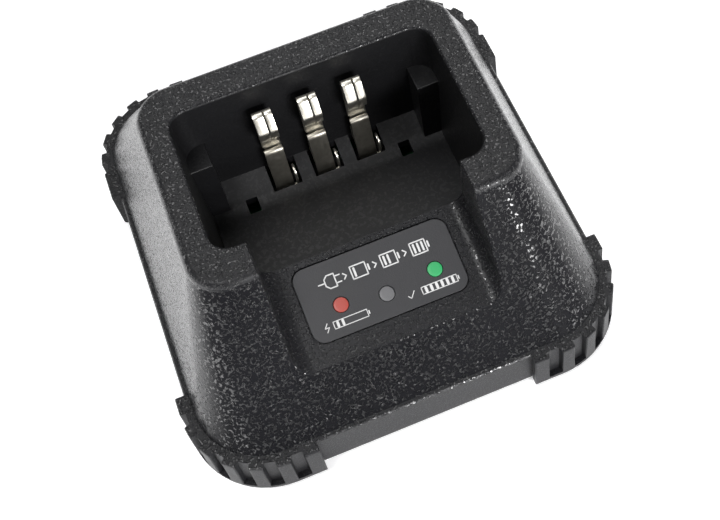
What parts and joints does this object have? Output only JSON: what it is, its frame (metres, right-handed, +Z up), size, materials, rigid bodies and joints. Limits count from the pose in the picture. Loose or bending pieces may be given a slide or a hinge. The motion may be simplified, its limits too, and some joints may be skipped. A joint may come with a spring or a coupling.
{
  "type": "radio charging cradle",
  "caption": "Drop-in desktop charging cradle for a portable two-way radio, with a deep pocket, sprung contacts and a labelled lamp panel.",
  "frame": {"origin": "on the table, under the middle of the cradle", "axes": "+Z up, -Y towards the user (the label side), +X to the user's right"},
  "size_m": [0.096, 0.104, 0.0442],
  "materials": {
    "housing": "black ABS, spark-eroded grain, coarser on the slopes",
    "base_plate": "black ABS, fine satin grain",
    "rubber_feet": "soft black rubber, matt",
    "screws": "zinc-plated steel",
    "label": "dark grey polycarbonate overlay, velvet finish, white print",
    "red_window": "translucent red, soft gloss",
    "grey_window": "smoked clear, soft gloss",
    "green_window": "translucent green, soft gloss",
    "lamp_lens": "clear epoxy",
    "circuit_board": "green solder mask, semi-gloss",
    "components": "black moulded epoxy",
    "capacitor_cans": "bare aluminium can",
    "inductor_core": "sintered ferrite, matt",
    "inlet_body": "black nylon, satin",
    "contact_carrier": "black nylon, satin",
    "contact_strip": "nickel-plated spring strip, bright"
  },
  "bodies": {
    "cradle": {"upper_housing": "housing", "base_plate": "base_plate", "rubber_foot_front_left": "rubber_feet", "rubber_foot_front_right": "rubber_feet", "rubber_foot_rear_left": "rubber_feet", "rubber_foot_rear_right": "rubber_feet", "housing_screw_front_left": "screws", "housing_screw_front_right": "screws", "housing_screw_rear_left": "screws", "housing_screw_rear_right": "screws", "board_screw_front_left": "screws", "board_screw_front_right": "screws", "board_screw_rear_left": "screws", "board_screw_rear_right": "screws", "label_overlay": "label", "led_window_red": "red_window", "led_window_centre": "grey_window", "led_window_green": "green_window", "status_lamp_red": "lamp_lens", "status_lamp_centre": "lamp_lens", "status_lamp_green": "lamp_lens", "circuit_board": "circuit_board", "charge_controller": "components", "lamp_driver": "components", "power_transistor": "components", "rectifier_diode": "components", "sense_resistor": "components", "lamp_resistor": "components", "input_capacitor": "capacitor_cans", "output_capacitor": "capacitor_cans", "inductor": "inductor_core", "power_inlet": "inlet_body", "contact_carrier": "contact_carrier", "contact_bracket_left": "contact_strip", "contact_bracket_centre": "contact_strip", "contact_bracket_right": "contact_strip"},
    "left_contact": {"contact_spring_left": "contact_strip"},
    "centre_contact": {"contact_spring_centre": "contact_strip"},
    "right_contact": {"contact_spring_right": "contact_strip"}
  },
  "joints": [
    {"name": "left_contact_flex", "type": "hinge", "parent": "cradle", "child": "left_contact", "pos_m": [-0.01, 0.0129, 0.0136], "axis": [-1, 0, 0], "range_deg": [0, 4], "stiffness_Nm_per_rad": 0.32},
    {"name": "centre_contact_flex", "type": "hinge", "parent": "cradle", "child": "centre_contact", "pos_m": [0, 0.0129, 0.0136], "axis": [-1, 0, 0], "range_deg": [0, 4], "stiffness_Nm_per_rad": 0.32},
    {"name": "right_contact_flex", "type": "hinge", "parent": "cradle", "child": "right_contact", "pos_m": [0.01, 0.0129, 0.0136], "axis": [-1, 0, 0], "range_deg": [0, 4], "stiffness_Nm_per_rad": 0.32}
  ]
}
